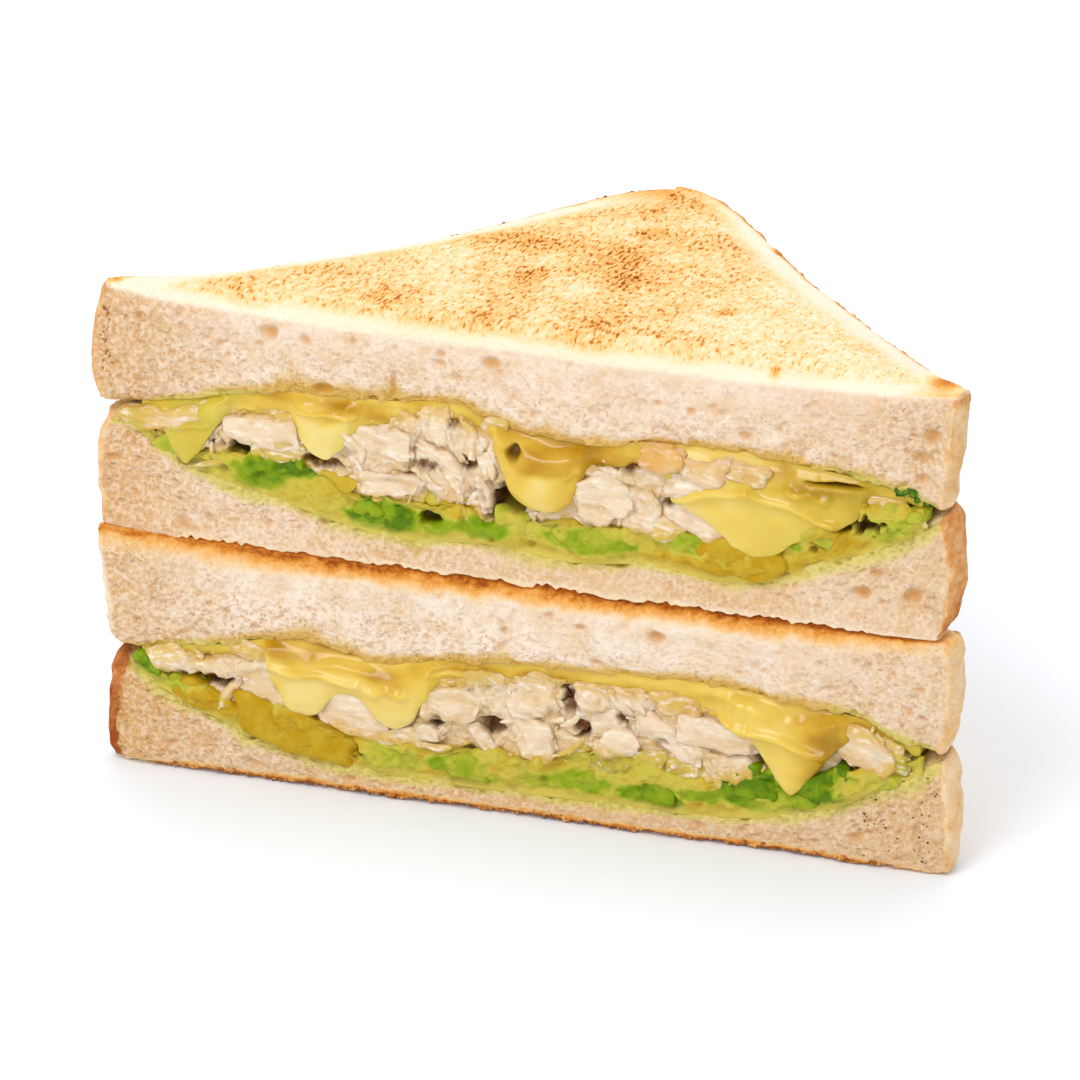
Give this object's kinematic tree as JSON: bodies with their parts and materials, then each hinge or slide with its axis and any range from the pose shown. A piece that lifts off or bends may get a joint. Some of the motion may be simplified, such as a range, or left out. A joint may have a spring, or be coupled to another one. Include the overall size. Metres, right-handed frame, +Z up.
{
  "type": "toasted sandwich",
  "caption": "Toasted sandwich cut corner to corner, its halves stacked with the cut faces in front, showing chicken, avocado mash and melted cheese between thick slices of white bread.",
  "frame": {"origin": "middle of the bounding box in plan, on the underside of the lower half's bottom slice", "axes": "+X along the cut towards the tip on the right of the picture, +Y back from the cut faces to the loaf's square corner, +Z up"},
  "size_m": [0.1422, 0.08, 0.0795],
  "materials": {
    "toasted_bread": "soft white crumb at the cut, dry toasted faces and a pale brown crust",
    "avocado_mash": "moist, lumpy, yellow green with brighter green pieces",
    "cooked_chicken": "moist torn fibres, creamy white",
    "melted_cheese": "smooth, glossy and slightly see-through"
  },
  "bodies": {
    "root": {"lower_avocado": "avocado_mash", "lower_bottom_slice": "toasted_bread", "lower_cheese": "melted_cheese", "lower_chicken": "cooked_chicken", "lower_top_slice": "toasted_bread", "upper_avocado": "avocado_mash", "upper_bottom_slice": "toasted_bread", "upper_cheese": "melted_cheese", "upper_chicken": "cooked_chicken", "upper_top_slice": "toasted_bread"}
  },
  "joints": []
}
